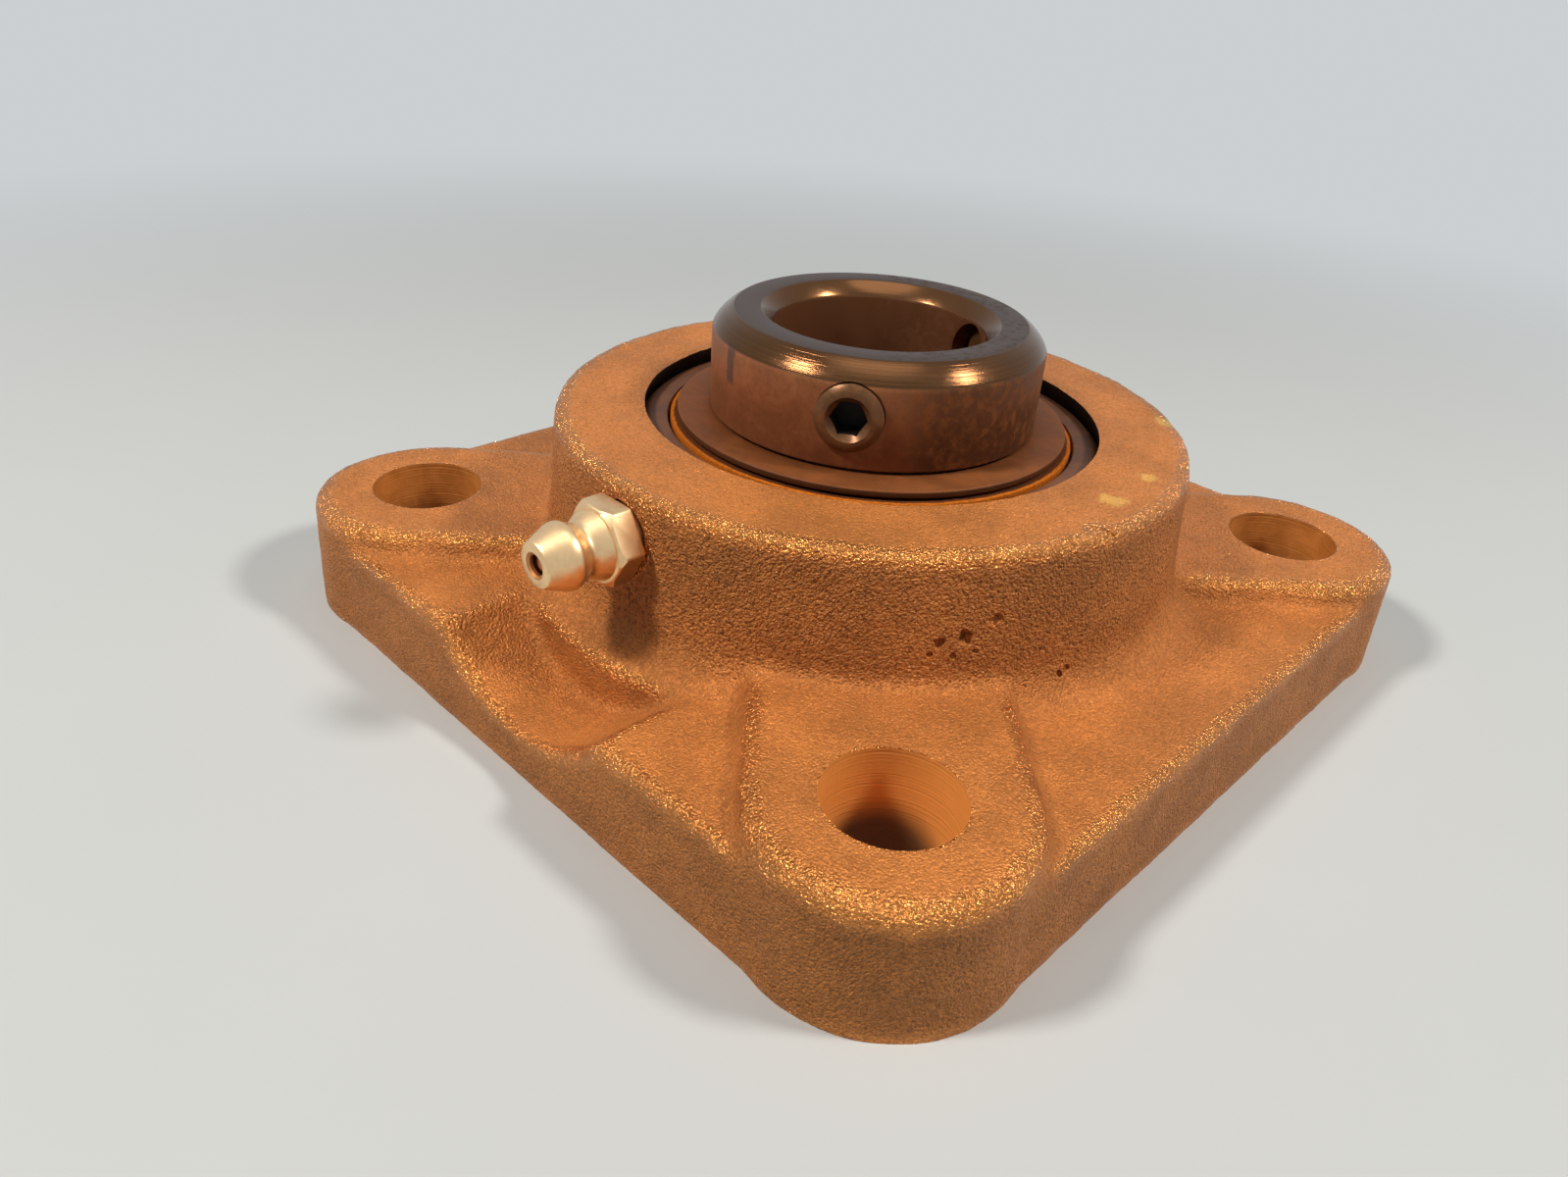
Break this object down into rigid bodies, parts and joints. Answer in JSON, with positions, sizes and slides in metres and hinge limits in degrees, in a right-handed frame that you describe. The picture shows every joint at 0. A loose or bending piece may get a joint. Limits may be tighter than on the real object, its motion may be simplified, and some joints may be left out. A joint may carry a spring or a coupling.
{
  "type": "flange mount bearing",
  "caption": "Square cast flange housing with a self-aligning ball bearing insert, a wide inner ring locked by set screws, felt seals and a side grease fitting.",
  "frame": {"origin": "centre of the square mounting face, on the shaft axis", "axes": "+Z along the shaft axis, out of the front of the housing; -Y towards the grease fitting; bolt holes on the X=+-Y diagonals"},
  "size_m": [0.0952, 0.0952, 0.0359],
  "materials": {
    "housing_casting": "sand cast, warm bronze-brown paint-like skin",
    "ring_steel": "dark ground bearing steel",
    "blackened_steel": "oxide-darkened steel, turned bevel",
    "screw_steel": "blackened alloy screw",
    "seal_steel": "dull pressed sheet steel",
    "cage_steel": "pressed steel",
    "bright_steel": "polished steel",
    "zinc_plate": "bright zinc plate",
    "check_ball_steel": "reddish tarnished steel",
    "felt": "orange-brown grease-soaked felt"
  },
  "bodies": {
    "housing": {"housing": "housing_casting", "grease_fitting": "zinc_plate", "check_spring": "bright_steel"},
    "insert": {"outer_ring": "ring_steel", "front_felt_seal": "felt", "rear_felt_seal": "felt", "front_seal_retainer": "seal_steel", "rear_seal_retainer": "seal_steel"},
    "shaft_ring": {"inner_ring": "blackened_steel", "front_flinger": "seal_steel", "rear_flinger": "seal_steel"},
    "cage": {"cage_front": "cage_steel", "cage_rear": "cage_steel", "cage_rivet_1": "cage_steel", "cage_rivet_2": "cage_steel", "cage_rivet_3": "cage_steel", "cage_rivet_4": "cage_steel", "cage_rivet_5": "cage_steel", "cage_rivet_6": "cage_steel", "cage_rivet_7": "cage_steel", "cage_rivet_8": "cage_steel", "cage_rivet_9": "cage_steel"},
    "ball_1": {"ball_1": "bright_steel"},
    "ball_2": {"ball_2": "bright_steel"},
    "ball_3": {"ball_3": "bright_steel"},
    "ball_4": {"ball_4": "bright_steel"},
    "ball_5": {"ball_5": "bright_steel"},
    "ball_6": {"ball_6": "bright_steel"},
    "ball_7": {"ball_7": "bright_steel"},
    "ball_8": {"ball_8": "bright_steel"},
    "ball_9": {"ball_9": "bright_steel"},
    "set_screw_1": {"set_screw_1": "screw_steel"},
    "set_screw_2": {"set_screw_2": "screw_steel"},
    "check_ball": {"check_ball": "check_ball_steel"}
  },
  "joints": [
    {"name": "align_tilt", "type": "hinge", "parent": "housing", "child": "insert", "pos_m": [0, 0, 0.0161], "axis": [1, 0, 0], "range_deg": [-3, 3]},
    {"name": "shaft_spin", "type": "hinge", "parent": "insert", "child": "shaft_ring", "pos_m": [0, 0, 0.0161], "axis": [0, 0, 1], "continuous": true},
    {"name": "cage_spin", "type": "hinge", "parent": "insert", "child": "cage", "pos_m": [0, 0, 0.0161], "axis": [0, 0, 1], "continuous": true},
    {"name": "ball_1_roll", "type": "hinge", "parent": "cage", "child": "ball_1", "pos_m": [0.01925, 0, 0.0161], "axis": [0, 0, 1], "continuous": true},
    {"name": "ball_2_roll", "type": "hinge", "parent": "cage", "child": "ball_2", "pos_m": [0.01475, 0.01237, 0.0161], "axis": [0, 0, 1], "continuous": true},
    {"name": "ball_3_roll", "type": "hinge", "parent": "cage", "child": "ball_3", "pos_m": [0.00334, 0.01896, 0.0161], "axis": [0, 0, 1], "continuous": true},
    {"name": "ball_4_roll", "type": "hinge", "parent": "cage", "child": "ball_4", "pos_m": [-0.00962, 0.01667, 0.0161], "axis": [0, 0, 1], "continuous": true},
    {"name": "ball_5_roll", "type": "hinge", "parent": "cage", "child": "ball_5", "pos_m": [-0.01809, 0.00658, 0.0161], "axis": [0, 0, 1], "continuous": true},
    {"name": "ball_6_roll", "type": "hinge", "parent": "cage", "child": "ball_6", "pos_m": [-0.01809, -0.00658, 0.0161], "axis": [0, 0, 1], "continuous": true},
    {"name": "ball_7_roll", "type": "hinge", "parent": "cage", "child": "ball_7", "pos_m": [-0.00962, -0.01667, 0.0161], "axis": [0, 0, 1], "continuous": true},
    {"name": "ball_8_roll", "type": "hinge", "parent": "cage", "child": "ball_8", "pos_m": [0.00334, -0.01896, 0.0161], "axis": [0, 0, 1], "continuous": true},
    {"name": "ball_9_roll", "type": "hinge", "parent": "cage", "child": "ball_9", "pos_m": [0.01475, -0.01237, 0.0161], "axis": [0, 0, 1], "continuous": true},
    {"name": "set_screw_1_travel", "type": "slide", "parent": "shaft_ring", "child": "set_screw_1", "axis": [-0.5446, 0.8387, 0], "range_m": [-0.0015, 0.0011]},
    {"name": "set_screw_2_travel", "type": "slide", "parent": "shaft_ring", "child": "set_screw_2", "axis": [-0.454, -0.891, 0], "range_m": [-0.0015, 0.0011]},
    {"name": "check_ball_travel", "type": "slide", "parent": "housing", "child": "check_ball", "axis": [0, 1, 0], "range_m": [0, 0.001], "stiffness_N_per_m": 300, "springref_m": -0.001, "deforming": ["check_spring"]}
  ],
  "couplings": [
    {"joint": "cage_spin", "follows": "shaft_spin", "ratio": 0.39691},
    {"joint": "ball_1_roll", "follows": "shaft_spin", "ratio": -2.322},
    {"joint": "ball_2_roll", "follows": "shaft_spin", "ratio": -2.322},
    {"joint": "ball_3_roll", "follows": "shaft_spin", "ratio": -2.322},
    {"joint": "ball_4_roll", "follows": "shaft_spin", "ratio": -2.322},
    {"joint": "ball_5_roll", "follows": "shaft_spin", "ratio": -2.322},
    {"joint": "ball_6_roll", "follows": "shaft_spin", "ratio": -2.322},
    {"joint": "ball_7_roll", "follows": "shaft_spin", "ratio": -2.322},
    {"joint": "ball_8_roll", "follows": "shaft_spin", "ratio": -2.322},
    {"joint": "ball_9_roll", "follows": "shaft_spin", "ratio": -2.322}
  ]
}
